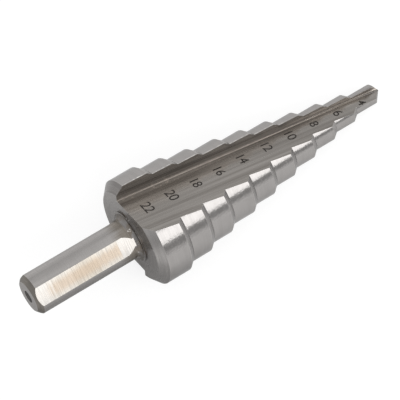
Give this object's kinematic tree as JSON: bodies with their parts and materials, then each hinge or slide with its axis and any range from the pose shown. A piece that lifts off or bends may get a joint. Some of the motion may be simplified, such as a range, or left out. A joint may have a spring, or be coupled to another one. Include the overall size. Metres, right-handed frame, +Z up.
{
  "type": "step drill",
  "caption": "Stepped cone drill of ground steel with straight flutes, relieved cutting steps, a split point and a three-flat round shank.",
  "frame": {"origin": "centre of the bounding box's underside, on the surface that the drill lies on", "axes": "+X from the shank end towards the tip, level; +Z up; the drill lies on one flute's two edges with its tip dipped about 8 degrees, so that its other flute faces up"},
  "size_m": [0.0784, 0.0214, 0.0192],
  "materials": {
    "ground_steel": "fine ground, unpolished"
  },
  "bodies": {
    "root": {"step_drill": "ground_steel"}
  },
  "joints": []
}
